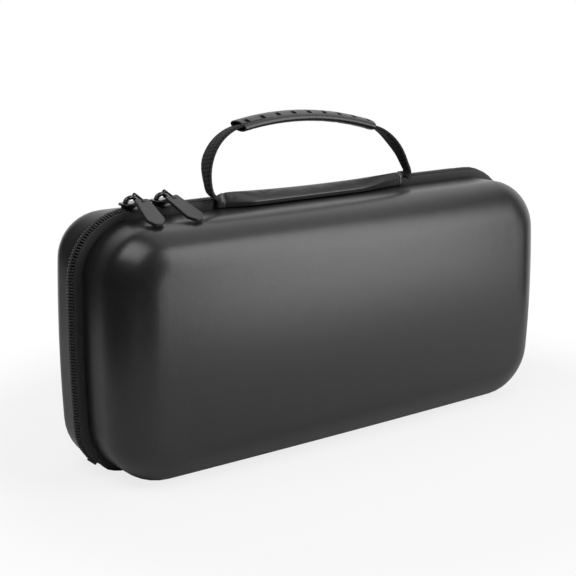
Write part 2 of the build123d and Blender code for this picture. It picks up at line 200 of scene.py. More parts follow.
# Brushed knit lining: dark grey and fibrous, with a pale sheen where it is seen at a low angle.
# The nap is about 0.5 mm long and is drawn at 0.8 mm.
lining, tree = new_finish("brushed_knit_lining_charcoal")
place = add_node(tree, "ShaderNodeTexCoord")
nap = add_node(
    tree, "ShaderNodeTexNoise", values={"Scale": 1 / 0.0008, "Detail": 4.0, "Roughness": 0.7},
    links={"Vector": place.outputs["Object"]},
)
tone = add_node(tree, "ShaderNodeValToRGB", links={"Fac": nap.outputs["Fac"]})
tone.color_ramp.elements[0].position = 0.3
tone.color_ramp.elements[0].color = linear("#1d1d1f")
tone.color_ramp.elements[1].position = 0.75
tone.color_ramp.elements[1].color = linear("#38383b")
relief = add_node(
    tree, "ShaderNodeBump", values={"Strength": 0.8, "Distance": 0.0003}, links={"Height": nap.outputs["Fac"]},
)
shader = add_node(
    tree, "ShaderNodeBsdfPrincipled",
    values={"Roughness": 0.95, "Sheen Weight": 0.5, "Sheen Roughness": 0.5, "Specular IOR Level": 0.2},
    links={"Base Color": tone.outputs["Color"], "Normal": relief.outputs["Normal"]},
)
show(tree, shader)

front_start = 0.0225
front_radius = 0.021
bm = bmesh.new()
rim = case_face(bm, 0.006, 0.006, 0.0, 0.029, 0.031, 0.0036)
front = case_face(bm, 0.006, 0.006, 0.0, 0.029, 0.031, front_start + front_radius)
join_faces(bm, [rim, front], keep_last=True)
bmesh.ops.bevel(
    bm, geom=list(front.edges), offset=front_radius, offset_type="OFFSET", segments=14, profile=0.5,
    affect="EDGES", material=-1,
)
bmesh.ops.recalc_face_normals(bm, faces=bm.faces[:])
side_cuts = [(0, zip_plane - d, 0) for d in (0.008, 0.013, 0.018)]
cut_across(bm, lambda f: abs(f.normal.y) < 0.02, (0, 1, 0), side_cuts)
cut_across(bm, lambda f: f.normal.y < -0.999, (1, 0, 0), [(x / 1000, 0, 0) for x in range(-120, 121, 10)])
cut_across(bm, lambda f: f.normal.y < -0.999, (0, 0, 1), [(0, 0, z / 1000) for z in range(26, 111, 10)])
for v in bm.verts:
    reached = min(max((zip_plane - v.co.y - front_start) / front_radius, 0), 1)
    sag = 0.0045 * (v.co.x / 0.1526) ** 2 + 0.0025 * ((v.co.z - 0.0695) / 0.0695) ** 2
    v.co.y -= reached * (0.047 - sag - front_start - front_radius)
front_skin = piece("front_shell_skin", bm, [shell_skin, lining], "front_half", "shell_skin", "front_shell")


def give_wall(made, thickness, edge):
    """Thickens a skin inwards, with its second finish inside, and rounds the rim."""
    made.modifiers.new("wall", "SOLIDIFY")
    made.modifiers["wall"].thickness = thickness
    made.modifiers["wall"].offset = -1
    made.modifiers["wall"].use_even_offset = True
    made.modifiers["wall"].material_offset = 1 if len(made.data.materials) > 1 else 0
    made.modifiers.new("edge", "BEVEL")
    made.modifiers["edge"].width = edge
    made.modifiers["edge"].segments = 3
    made.modifiers["edge"].limit_method = "ANGLE"
    made.modifiers["edge"].angle_limit = radians(50)


give_wall(front_skin, wall, 0.0013)

# Shallow half. The same foam and skin, a flatter tub whose corners grow tighter towards its back.
bm = bmesh.new()
rim = case_face(bm, 0.003, 0.003, 0.0, 0.032, 0.028, -0.0036)
back = case_face(bm, 0.0038, 0.0038, 0.0, 0.021, 0.029, -0.026)
join_faces(bm, [rim, back], keep_last=True)
bmesh.ops.bevel(
    bm, geom=list(back.edges), offset=0.010, offset_type="OFFSET", segments=10, profile=0.5,
    affect="EDGES", material=-1,
)
bmesh.ops.recalc_face_normals(bm, faces=bm.faces[:])
cut_across(bm, lambda f: abs(f.normal.y) < 0.5 and f.calc_area() > 1e-5, (0, 1, 0),
           [(0, zip_plane + d, 0) for d in (0.008, 0.012, 0.015)])
cut_across(bm, lambda f: f.normal.y > 0.999, (1, 0, 0), [(x / 1000, 0, 0) for x in range(-120, 121, 20)])
cut_across(bm, lambda f: f.normal.y > 0.999, (0, 0, 1), [(0, 0, z / 1000) for z in range(26, 111, 14)])
rear_skin = piece("rear_shell_skin", bm, [shell_skin, lining], "rear_half", "shell_skin", "rear_shell")
give_wall(rear_skin, wall, 0.0013)

# Zip tapes. Woven polyester tape, sewn to each rim and folded up, so that it stands round the case as a fin
# with the coil on its crest. It meets the rim in a narrow dark groove.
tape_cloth, tree = new_finish("woven_polyester_tape_black")
along = add_node(tree, "ShaderNodeAttribute", {"attribute_name": "along"})
across = add_node(tree, "ShaderNodeAttribute", {"attribute_name": "across"})
place = add_node(
    tree, "ShaderNodeCombineXYZ", links={"X": along.outputs["Fac"], "Y": across.outputs["Fac"]},
)
# Herringbone rows 0.9 mm apart; a band texture of scale s repeats every 0.314 / s
rows = add_node(
    tree, "ShaderNodeTexWave", {"bands_direction": "DIAGONAL"}, {"Scale": 0.314 / 0.0009, "Distortion": 0.0},
    {"Vector": place.outputs["Vector"]},
)
fuzz = add_node(
    tree, "ShaderNodeTexNoise", values={"Scale": 1 / 0.0012, "Detail": 3.0},
    links={"Vector": place.outputs["Vector"]},
)
tone = add_node(tree, "ShaderNodeValToRGB", links={"Fac": fuzz.outputs["Fac"]})
tone.color_ramp.elements[0].position = 0.3
tone.color_ramp.elements[0].color = linear("#2a2a2a")
tone.color_ramp.elements[1].position = 0.7
tone.color_ramp.elements[1].color = linear("#383838")
relief = add_node(
    tree, "ShaderNodeBump", values={"Strength": 0.5, "Distance": 0.00012},
    links={"Height": rows.outputs["Fac"]},
)
shader = add_node(
    tree, "ShaderNodeBsdfPrincipled",
    values={"Roughness": 0.75, "Sheen Weight": 0.15, "Sheen Roughness": 0.4, "Specular IOR Level": 0.35},
    links={"Base Color": tone.outputs["Color"], "Normal": relief.outputs["Normal"]},
)
show(tree, shader)


def case_band(bm, folds):
    """Skins a band round the case through folds of (inset, bottom, lower radius, depth) and keeps its run."""
    along = bm.verts.layers.float.new("along")
    across = bm.verts.layers.float.new("across")
    faces = []
    crossed = 0
    for number, (inset, bottom, lower, depth) in enumerate(folds):
        face = case_face(bm, inset, inset, bottom, 0.035 - inset, lower, depth)
        if number:
            crossed += Vector((inset - folds[number - 1][0], depth - folds[number - 1][3])).length
        ring = [loop.vert for loop in face.loops]
        travelled = 0
        for v, following in zip(ring, ring[1:] + ring[:1]):
            v[along] = travelled
            v[across] = crossed
            travelled += (following.co - v.co).length
        faces.append(face)
    join_faces(bm, faces)
    bmesh.ops.recalc_face_normals(bm, faces=bm.faces[:])


front_folds = (
    (0.0105, 0.0046, 0.0265, 0.0027), (0.0078, 0.0040, 0.0285, 0.0028), (0.0062, 0.0034, 0.0298, 0.0030),
    (0.0050, 0.0028, 0.0285, 0.0034), (0.0037, 0.0022, 0.0265, 0.0035), (0.0024, 0.0016, 0.0258, 0.00345),
    (0.0015, 0.0013, 0.0265, 0.0033), (0.0017, 0.0013, 0.0263, 0.0028), (0.0026, 0.0013, 0.0254, 0.0022),
    (0.0027, 0.0013, 0.0253, 0.0008),
)
rear_folds = (
    (0.0075, 0.0046, 0.0235, -0.0027), (0.0050, 0.0040, 0.0260, -0.0028), (0.0035, 0.0034, 0.0275, -0.0030),
    (0.0028, 0.0028, 0.0275, -0.0034), (0.0022, 0.0022, 0.0265, -0.0035), (0.0018, 0.0016, 0.0264, -0.00345),
    (0.0015, 0.0013, 0.0265, -0.0033), (0.0017, 0.0013, 0.0263, -0.0028), (0.0026, 0.0013, 0.0254, -0.0022),
    (0.0027, 0.0013, 0.0253, -0.0008),
)
for name, folds, body, node in (
    ("front_zip_tape_cloth", front_folds, "front_half", "front_zip_tape"),
    ("rear_zip_tape_cloth", rear_folds, "rear_half", "rear_zip_tape"),
):
    bm = bmesh.new()
    case_band(bm, folds)
    tape = piece(name, bm, [tape_cloth], body, "zip_tape", node)
    tape.modifiers.new("cloth", "SOLIDIFY")
    tape.modifiers["cloth"].thickness = 0.0005
    tape.modifiers["cloth"].offset = -1

# Zip coils. Nylon monofilament wound into close loops and sewn along the edge of each tape; the two rows mesh
# over the zip plane. Each loop is drawn as a rounded bar that falls away at its sewn end.
coil_pitch = 0.0016
zip_end = 0.009
coil_nylon, tree = new_finish("nylon_monofilament_black")
place = add_node(tree, "ShaderNodeTexCoord")
draw = add_node(
    tree, "ShaderNodeTexNoise", values={"Scale": 1 / 0.0007, "Detail": 2.0},
    links={"Vector": place.outputs["Object"]},
)
gloss = add_node(
    tree, "ShaderNodeMapRange", values={"To Min": 0.42, "To Max": 0.55}, links={"Value": draw.outputs["Fac"]},
)
shader = add_node(
    tree, "ShaderNodeBsdfPrincipled", values={"Base Color": linear("#121212"), "IOR": 1.53},
    links={"Roughness": gloss.outputs["Result"]},
)
show(tree, shader)


def case_line(inset):
    """Points round the case at that inset, from under its middle by the right end, top and left end."""
    bm = bmesh.new()
    face = case_face(bm, inset, inset, inset, 0.035 - inset, 0.028 - inset, 0, 60, 30)
    points = [loop.vert.co.copy() for loop in face.loops]
    bm.free()
    first = min(range(len(points)), key=lambda n: abs(points[n].x) + points[n].z)
    return points[first:] + points[: first + 1]


def walk(points, start, step):
    """Yields evenly spaced places along a line, each with its direction."""
    wanted = start
    travelled = 0
    for a, b in zip(points, points[1:]):
        length = (b - a).length
        while wanted <= travelled + length:
            yield a.lerp(b, (wanted - travelled) / length), (b - a).normalized()
            wanted += step
        travelled += length


rim_line = case_line(0.0)
for name, side, start, body, node in (
    ("front_zip_coil_loops", -1, 0.0, "front_half", "front_zip_coil"),
    ("rear_zip_coil_loops", 1, coil_pitch / 2, "rear_half", "rear_zip_coil"),
):
    bm = bmesh.new()
    for point, direction in walk(rim_line, start, coil_pitch):
        if point.z < zip_end:
            continue
        outward = Vector((0, 1, 0)).cross(direction)
        loop = bmesh.ops.create_cube(bm, size=1)["verts"]
        for v in loop:
            sewn = v.co.y * side > 0
            v.co.x *= 0.00100
            v.co.z = -0.0003 if v.co.z > 0 else -0.0023
            v.co.z -= 0.0006 if sewn and v.co.z > -0.001 else 0
            v.co.y = side * (0.0031 if sewn else -0.00045)
        turn = Matrix((direction, (0, 1, 0), outward)).transposed().to_4x4()
        bmesh.ops.transform(bm, matrix=Matrix.Translation(point) @ turn, verts=loop)
    bmesh.ops.bevel(
        bm, geom=bm.edges[:], offset=0.00027, offset_type="OFFSET", segments=1, profile=0.5,
        affect="EDGES", material=-1,
    )
    bmesh.ops.recalc_face_normals(bm, faces=bm.faces[:])
    piece(name, bm, [coil_nylon], body, "zip_coil", node)

# Zip stops. Small blocks of the same nylon, moulded on the tape just under the two ends of each coil row.
for name, side, body, node in (
    ("front_zip_stop_blocks", -1, "front_half", "front_zip_stops"),
    ("rear_zip_stop_blocks", 1, "rear_half", "rear_zip_stops"),
):
    bm = bmesh.new()
    for end in (-1, 1):
        beside = [n for n in range(len(rim_line) - 1) if rim_line[n].x * end > 0]
        nearest = min(beside, key=lambda n: abs(rim_line[n].z - 0.0076))
        direction = (rim_line[nearest + 1] - rim_line[nearest]).normalized()
        outward = Vector((0, 1, 0)).cross(direction)
        turn = Matrix((direction, (0, 1, 0), outward)).transposed().to_4x4()
        place = Matrix.Translation(rim_line[nearest] - outward * 0.0011) @ turn
        place = place @ Matrix.Translation((0, side * 0.0019, 0)) @ Matrix.Diagonal((0.0026, 0.0026, 0.0024, 1))
        bmesh.ops.create_cube(bm, size=1, matrix=place)
    bmesh.ops.bevel(
        bm, geom=bm.edges[:], offset=0.0004, offset_type="OFFSET", segments=2, profile=0.5,
        affect="EDGES", material=-1,
    )
    bmesh.ops.recalc_face_normals(bm, faces=bm.faces[:])
    piece(name, bm, [coil_nylon], body, "zip_coil", node)

# Hinge. A strip of the same woven tape along the bottom, sewn to both rims and turned up at the corners. On the
# case it bends where the lid opens; here it is a fixed strip that rides no body.
bm = bmesh.new()
case_band(bm, [(0.0003, 0.0003, 0.0277, d / 10000) for d in (-35, -24, -16, -8, 0, 8, 16, 24, 35)])
bmesh.ops.bisect_plane(
    bm, geom=bm.verts[:] + bm.edges[:] + bm.faces[:], dist=1e-6, plane_co=(0, 0, 0.0030), plane_no=(0, 0, 1),
    clear_outer=True,
)
hinge = piece("hinge_strip_cloth", bm, [tape_cloth], None, "zip_tape", "hinge_strip")
hinge.modifiers.new("cloth", "SOLIDIFY")
hinge.modifiers["cloth"].thickness = 0.0008
hinge.modifiers["cloth"].offset = -1
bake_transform(hinge)

# Bindings. Tape folded over the raw edge of foam and lining inside each mouth and sewn down.
for name, folds, body, node in (
    (
        "front_binding_tape",
        [(0.0106, 0.0046, 0.0264, 0.0037 + 0.0033 * n) for n in range(4)],
        "front_half", "front_binding",
    ),
    (
        "rear_binding_tape",
        [(0.0077 + 0.00012 * n, 0.0046, 0.0234, -0.0037 - 0.0033 * n) for n in range(4)],
        "rear_half", "rear_binding",
    ),
):
    bm = bmesh.new()
    case_band(bm, folds)
    binding = piece(name, bm, [tape_cloth], body, "zip_tape", node)
    binding.modifiers.new("cloth", "SOLIDIFY")
    binding.modifiers["cloth"].thickness = 0.0007
    binding.modifiers["cloth"].offset = -1
    binding.modifiers.new("edge", "BEVEL")
    binding.modifiers["edge"].width = 0.0002
    binding.modifiers["edge"].segments = 2

# Console tray. A foam block covered with the brushed lining, with a hollow for the console
# and a finger notch at each end.
bm = bmesh.new()
under = case_face(bm, 0.0109, 0.0109, 0.0049, 0.0241, 0.0261, 0.0355, 20, 40)
lip = case_face(bm, 0.0109, 0.0109, 0.0049, 0.0241, 0.0261, 0.0170, 20, 40)
mouth = case_face(bm, 0.0144, 0.0144, 0.0084, 0.0206, 0.0226, 0.0170, 20, 40)
bed = case_face(bm, 0.0144, 0.0144, 0.0084, 0.0206, 0.0226, 0.0300, 20, 40)
join_faces(bm, [under, lip, mouth, bed], keep_first=True, keep_last=True)
bmesh.ops.bevel(
    bm, geom=list(under.edges), offset=0.015, offset_type="OFFSET", segments=6, profile=0.5,
    affect="EDGES", material=-1,
)
bmesh.ops.bevel(
    bm, geom=list(bed.edges), offset=0.0120, offset_type="OFFSET", segments=8, profile=0.5,
    affect="EDGES", material=-1,
)
bmesh.ops.recalc_face_normals(bm, faces=bm.faces[:])
for v in bm.verts:
    beside = (v.co.z - 0.0695) / 0.014
    if abs(v.co.x) > 0.120 and abs(beside) < 1:
        v.co.y = min(v.co.y, zip_plane - 0.017 - 0.008 * (1 - beside * beside) ** 0.5)
tray = piece("console_tray_foam", bm, [lining], "front_half", "tray_foam", "console_cradle")
tray.modifiers.new("edge", "BEVEL")
tray.modifiers["edge"].width = 0.0011
tray.modifiers["edge"].segments = 3
tray.modifiers["edge"].limit_method = "ANGLE"
tray.modifiers["edge"].angle_limit = radians(50)

# Net pocket. Knitted nylon net with diamond holes, sewn in along the sides and bottom of the shallow half.
net_cell = 0.0036
pocket_depth = 0.0063
net_nylon, tree = new_finish("knitted_nylon_net_black")
place = add_node(tree, "ShaderNodeTexCoord")
knit = add_node(
    tree, "ShaderNodeTexNoise", values={"Scale": 1 / 0.0006, "Detail": 2.0},
    links={"Vector": place.outputs["Object"]},
)
tone = add_node(tree, "ShaderNodeValToRGB", links={"Fac": knit.outputs["Fac"]})
tone.color_ramp.elements[0].color = linear("#101010")
tone.color_ramp.elements[1].color = linear("#262626")
shader = add_node(
    tree, "ShaderNodeBsdfPrincipled", values={"Roughness": 0.6, "Sheen Weight": 0.1},
    links={"Base Color": tone.outputs["Color"]},
)
show(tree, shader)
bm = bmesh.new()
cells = 76
place = Matrix.Translation((0, zip_plane + pocket_depth, 0.05))
place = place @ Matrix.Rotation(pi / 2, 4, "X") @ Matrix.Rotation(pi / 4, 4, "Z")
bmesh.ops.create_grid(bm, x_segments=cells, y_segments=cells, size=cells * net_cell / 2, matrix=place)
net_corner = 0.0223
edges = [((x * 0.1424, 0, 0.05), (x, 0, 0)) for x in (-1, 1)]
edges += [((0, 0, 0.0058), (0, 0, -1)), ((0, 0, 0.0965), (0, 0, 1))]
for x in (-1, 1):
    for turn in (22.5, 45, 67.5):
        out = Vector((x * cos(radians(turn)), 0, -sin(radians(turn))))
        middle = Vector((x * (0.1414 - net_corner), 0, 0.0057 + net_corner))
        edges.append((middle + out * 0.0225, out))
for point, out in edges:
    bmesh.ops.bisect_plane(
        bm, geom=bm.verts[:] + bm.edges[:] + bm.faces[:], dist=1e-6, plane_co=point, plane_no=out,
        clear_outer=True,
    )
net = piece("mesh_pocket_net", bm, [net_nylon], "rear_half", "pocket_net", "mesh_pocket")
net.modifiers.new("threads", "WIREFRAME")
net.modifiers["threads"].thickness = 0.0006
net.modifiers["threads"].use_even_offset = False

# Pocket hem. Ribbed elastic folded over the top of the net; it draws in a little between its stitches.
hem_elastic, tree = new_finish("ribbed_elastic_black")
place = add_node(tree, "ShaderNodeTexCoord")
# Ribs 1.2 mm apart, running across the band
ribs = add_node(
    tree, "ShaderNodeTexWave", {"bands_direction": "X"},
    {"Scale": 0.314 / 0.0012, "Distortion": 0.6, "Detail": 1.0},
    {"Vector": place.outputs["Object"]},
)
# The colour follows the ribs' relief: lighter on their crests, a painted highlight, and darker in the grooves
# between them, painted shade.
tone = add_node(tree, "ShaderNodeValToRGB", links={"Fac": ribs.outputs["Fac"]})
tone.color_ramp.elements[0].color = linear("#0e0e0e")
tone.color_ramp.elements[1].color = linear("#232323")
relief = add_node(
    tree, "ShaderNodeBump", values={"Strength": 0.7, "Distance": 0.0003}, links={"Height": ribs.outputs["Fac"]},
)
shader = add_node(
    tree, "ShaderNodeBsdfPrincipled", values={"Roughness": 0.7, "Sheen Weight": 0.2},
    links={"Base Color": tone.outputs["Color"], "Normal": relief.outputs["Normal"]},
)
show(tree, shader)
bm = bmesh.new()
place = Matrix.Translation((0, zip_plane + pocket_depth, 0.099)) @ Matrix.Diagonal((0.2868, 0.0011, 0.0078, 1))
bmesh.ops.create_cube(bm, size=1, matrix=place)
bmesh.ops.bevel(
    bm, geom=[e for e in bm.edges if abs(e.verts[0].co.x - e.verts[1].co.x) > 0.1], offset=0.0004,
    offset_type="OFFSET", segments=2, profile=0.5, affect="EDGES", material=-1,
)
cut_across(bm, lambda f: True, (1, 0, 0), [(n * 0.0024, 0, 0) for n in range(-59, 60)])
for v in bm.verts:
    v.co.y += 0.00025 * sin(v.co.x * 2 * pi / 0.0096)
bmesh.ops.recalc_face_normals(bm, faces=bm.faces[:])
hem = piece("pocket_hem_elastic", bm, [hem_elastic], "rear_half", "pocket_elastic", "pocket_hem")

# Sliders. Zinc castings with black enamel: a plate over the coil with side wings, a keel under it,
# a post between the rows and an arched bridge that holds the pull.
slider_enamel, tree = new_finish("black_enamel_on_zinc_casting")
place = add_node(tree, "ShaderNodeTexCoord")
peel = add_node(
    tree, "ShaderNodeTexNoise", values={"Scale": 1 / 0.0016, "Detail": 1.0},
    links={"Vector": place.outputs["Object"]},
)
relief = add_node(
    tree, "ShaderNodeBump", values={"Strength": 0.3, "Distance": 0.00008},
    links={"Height": peel.outputs["Fac"]},
)
gloss = add_node(
    tree, "ShaderNodeMapRange", values={"To Min": 0.10, "To Max": 0.2}, links={"Value": peel.outputs["Fac"]},
)
shader = add_node(
    tree, "ShaderNodeBsdfPrincipled", values={"Base Color": linear("#0b0b0b"), "IOR": 1.5},
    links={"Roughness": gloss.outputs["Result"], "Normal": relief.outputs["Normal"]},
)
show(tree, shader)
crest = 0.139
bridge_base = crest + 0.0016


def rounded_block(bm, size, place, offset, segments=3, upright=0.0):
    """Adds a block with its upright edges, then all its edges, rounded."""
    placed = Matrix.Translation(place) @ Matrix.Diagonal((*size, 1))
    verts = bmesh.ops.create_cube(bm, size=1, matrix=placed)["verts"]
    edges = list({e for v in verts for e in v.link_edges})
    if upright:
        posts = [e for e in edges if abs(e.verts[0].co.z - e.verts[1].co.z) > size[2] / 2]
        made = bmesh.ops.bevel(
            bm, geom=posts, offset=upright, offset_type="OFFSET", segments=5, profile=0.5,
            affect="EDGES", material=-1,
        )
        faces = {f for v in made["verts"] for f in v.link_faces}
        edges = [e for e in {e for f in faces for e in f.edges} if e.calc_face_angle(0) > radians(60)]
    bmesh.ops.bevel(
        bm, geom=edges, offset=offset, offset_type="OFFSET", segments=segments, profile=0.5,
        affect="EDGES", material=-1,
    )


for name, x, facing, body, node in (
    ("left_slider_casting", -0.1145, 1, "left_slider_body", "left_slider"),
    ("right_slider_casting", -0.0965, -1, "right_slider_body", "right_slider"),
):
    bm = bmesh.new()
    rounded_block(bm, (0.012, 0.0096, 0.0013), (x, zip_plane, crest + 0.00105), 0.0005, upright=0.0024)
    for side in (-1, 1):
        rounded_block(bm, (0.0072, 0.0008, 0.0031), (x, zip_plane + side * 0.0044, crest - 0.00055), 0.0003)
    rounded_block(bm, (0.009, 0.0042, 0.0011), (x, zip_plane, crest - 0.00475), 0.0003, upright=0.0013)
    rounded_block(bm, (0.0022, 0.0008, 0.0055), (x + facing * 0.00324, zip_plane, crest - 0.002), 0.0001)
    start = Matrix.Translation((x - 0.0036, zip_plane, bridge_base)) @ Matrix.Diagonal((0.0013, 0.0012, 1, 1))
    foot = bmesh.ops.create_grid(bm, x_segments=1, y_segments=1, size=1, matrix=start)["verts"]
    before = set(bm.verts) - set(foot)
    sides = list({e for v in foot for e in v.link_edges})
    flats = list({f for v in foot for f in v.link_faces})
    bmesh.ops.spin(
        bm, geom=foot + sides + flats, cent=(x, zip_plane, bridge_base), axis=(0, 1, 0), dvec=(0, 0, 0),
        angle=pi, steps=14, use_duplicate=False,
    )
    arch = [v for v in bm.verts if v not in before]
    bmesh.ops.scale(
        bm, vec=(1, 1, 0.80), space=Matrix.Translation((-x, -zip_plane, -crest - 0.0012)), verts=arch,
    )
    ribs = [e for e in {e for v in arch for e in v.link_edges} if e.calc_face_angle(0) > radians(60)]
    bmesh.ops.bevel(
        bm, geom=ribs, offset=0.0009, offset_type="OFFSET", segments=4, profile=0.5,
        affect="EDGES", material=-1,
    )
    bmesh.ops.recalc_face_normals(bm, faces=bm.faces[:])
    piece(name, bm, [slider_enamel], body, "slider_enamel", node)

# Wire links. Bent wire loops with the same enamel, wider at the bridge than in the eye of the tab.
# They hang forward over the front tape.
left_pull_x = -0.1126
right_pull_x = -0.0951
eye_forward = 0.0070
eye_rise = 0.0031
for name, x, body, node in (
    ("left_pull_link_wire", left_pull_x, "left_pull", "left_pull_link"),
    ("right_pull_link_wire", right_pull_x, "right_pull", "right_pull_link"),
):
    bridge = Vector((x, zip_plane, crest + 0.0043))
    eye = Vector((x, zip_plane - eye_forward, crest + eye_rise))
    bm = bmesh.new()
    bmesh.ops.create_circle(bm, segments=8, radius=0.00055, matrix=Matrix.Translation((0, 0.0010, 0)))
    bmesh.ops.spin(
        bm, geom=bm.verts[:] + bm.edges[:], cent=(0, 0, 0), axis=(1, 0, 0), dvec=(0, 0, 0), angle=2 * pi,
        steps=24, use_merge=True, use_duplicate=False,
    )
    for v in bm.verts:
        out = Vector((0, v.co.y, v.co.z))
        held = out.dot(eye - bridge) < 1e-7
        v.co += bridge + out.normalized() * 0.00075 if held else eye
    bmesh.ops.recalc_face_normals(bm, faces=bm.faces[:])
    piece(name, bm, [slider_enamel], body, "slider_enamel", node)

# Pull tabs. Flat soft plastic, moulded with a cut tip, a small eye and rounded edges.
tab_plastic, tree = new_finish("moulded_soft_pvc_black")
place = add_node(tree, "ShaderNodeTexCoord")
# Spark-eroded texture of about 0.25 mm, drawn at 0.5 mm so that it shows
spark = add_node(
    tree, "ShaderNodeTexNoise", values={"Scale": 1 / 0.0005, "Detail": 2.0},
    links={"Vector": place.outputs["Object"]},
)
tone = add_node(tree, "ShaderNodeValToRGB", links={"Fac": spark.outputs["Fac"]})
tone.color_ramp.elements[0].color = linear("#1f1f1f")
tone.color_ramp.elements[1].color = linear("#2a2a2a")
relief = add_node(
    tree, "ShaderNodeBump", values={"Strength": 0.4, "Distance": 0.00006},
    links={"Height": spark.outputs["Fac"]},
)
shader = add_node(
    tree, "ShaderNodeBsdfPrincipled", values={"Roughness": 0.5, "IOR": 1.52},
    links={"Base Color": tone.outputs["Color"], "Normal": relief.outputs["Normal"]},
)
show(tree, shader)
tab_slope = 21
for name, x, skew, body, node in (
    ("left_pull_tab_moulding", left_pull_x, -8, "left_pull", "left_pull_tab"),
    ("right_pull_tab_moulding", right_pull_x, 7, "right_pull", "right_pull_tab"),
):
    bm = bmesh.new()
    place = Matrix.Translation((x, zip_plane - eye_forward, crest + eye_rise))
    place = place @ Matrix.Rotation(radians(tab_slope), 4, "X") @ Matrix.Rotation(radians(skew), 4, "Z")
    corners = [bm.verts.new((a / 1e4, b / 1e4, -0.001)) for a, b in
               ((-39, 9), (-49, -195), (-19, -238), (19, -238), (49, -195), (39, 9))]
    face = bm.faces.new(corners)
    bmesh.ops.bevel(
        bm, geom=corners, offset=0.0009, offset_type="OFFSET", segments=4, profile=0.5,
        affect="VERTICES", material=-1,
    )
    bmesh.ops.bisect_plane(
        bm, geom=bm.verts[:] + bm.edges[:] + bm.faces[:], dist=1e-6,
        plane_co=(0, -0.0042, 0), plane_no=(0, 1, 0),
    )
    eye = max(bm.faces, key=lambda f: f.calc_center_median().y)
    bmesh.ops.inset_individual(bm, faces=[eye], thickness=0.0005)
    for v in eye.verts:
        out = (v.co - Vector((0, -0.00195, -0.001))).normalized()
        v.co = Vector((out.x * 0.00095, out.y * 0.00105 - 0.00195, -0.001))
    bmesh.ops.delete(bm, geom=[eye], context="FACES_ONLY")
    flat = bm.faces[:]
    grown = bmesh.ops.extrude_face_region(bm, geom=flat, use_keep_orig=True)["geom"]
    bmesh.ops.translate(bm, vec=(0, 0, 0.002), verts=[g for g in grown if isinstance(g, bmesh.types.BMVert)])
    bmesh.ops.recalc_face_normals(bm, faces=bm.faces[:])
    bmesh.ops.transform(bm, matrix=place, verts=bm.verts[:])
    tab = piece(name, bm, [tab_plastic], body, "pull_tab", node)
    tab.modifiers.new("edge", "BEVEL")
    tab.modifiers["edge"].width = 0.0005
    tab.modifiers["edge"].segments = 3
    tab.modifiers["edge"].limit_method = "ANGLE"
    tab.modifiers["edge"].angle_limit = radians(60)
    tab.modifiers["edge"].harden_normals = True

# Handle webbing. Heavy woven polypropylene, 11 mm wide, sewn in under the sleeve at both ends; it narrows
# and turns forward where it comes out of the sleeve.
webbing_weave, tree = new_finish("ribbed_polypropylene_webbing_black")
along = add_node(tree, "ShaderNodeAttribute", {"attribute_name": "along"})
across = add_node(tree, "ShaderNodeAttribute", {"attribute_name": "across"})
place = add_node(tree, "ShaderNodeCombineXYZ", links={"X": along.outputs["Fac"], "Y": across.outputs["Fac"]})
# Ribs across the strap 2.2 mm apart, broken by yarns 1.6 mm wide along it
ribs = add_node(
    tree, "ShaderNodeTexWave", {"bands_direction": "X"}, {"Scale": 0.314 / 0.0022, "Distortion": 0.0},
    {"Vector": place.outputs["Vector"]},
)
yarns = add_node(
    tree, "ShaderNodeTexWave", {"bands_direction": "Y"}, {"Scale": 0.314 / 0.0016, "Distortion": 0.0},
    {"Vector": place.outputs["Vector"]},
)
weave = add_node(
    tree, "ShaderNodeMath", {"operation": "MULTIPLY"}, links={0: ribs.outputs["Fac"], 1: yarns.outputs["Fac"]},
)
# The colour follows the weave's relief: lighter on the raised yarns, a painted highlight, and darker between
# them, painted shade.
tone = add_node(tree, "ShaderNodeValToRGB", links={"Fac": weave.outputs["Value"]})
tone.color_ramp.elements[0].color = linear("#060606")
tone.color_ramp.elements[1].color = linear("#191919")
relief = add_node(
    tree, "ShaderNodeBump", values={"Strength": 0.9, "Distance": 0.0005},
    links={"Height": weave.outputs["Value"]},
)
shader = add_node(
    tree, "ShaderNodeBsdfPrincipled",
    values={"Roughness": 0.7, "Sheen Weight": 0.05, "Specular IOR Level": 0.3},
    links={"Base Color": tone.outputs["Color"], "Normal": relief.outputs["Normal"]},
)
show(tree, shader)
handle_place = Matrix.Translation((0, zip_plane - 0.004, crest)) @ Matrix.Rotation(radians(90 - 11.3), 4, "X")
handle_start = Vector((-0.0663, 0.0006))
handle_stops = (
    (-0.0713, 0.0052), (-0.0581, 0.0316), (-0.0469, 0.0360), (0.0434, 0.0308), (0.06405, 0.0088),
    (0.0659, 0.00416), (0.0637, 0.0006),
)
strap_twist = radians(20)
handle_arcs = []
here = handle_start
heading = Vector((-1, 0))
for stop in handle_stops:
    chord = Vector(stop) - here
    normal = Vector((-heading.y, heading.x))
    radius = chord.length_squared / (2 * chord.dot(normal))
    turn = 2 * Vector((chord.dot(heading), chord.dot(normal))).angle_signed(Vector((1, 0)))
    handle_arcs.append((here.copy(), heading.copy(), here + normal * radius, radius, turn))
    here = Vector(stop)
    heading = Matrix.Rotation(turn, 2) @ heading


def strap_place(start, heading, thickness, width):
    """The place of a strap's section, drawn two units wide and high, at the start of its line."""
    turn = Matrix.Rotation(Vector((1, 0)).angle_signed(heading) * -1, 4, "Z")
    section = Matrix(((0, 0, 1, 0), (thickness / 2, 0, 0, 0), (0, width / 2, 0, 0), (0, 0, 0, 1)))
    return Matrix.Translation((start.x, start.y, 0)) @ turn @ section


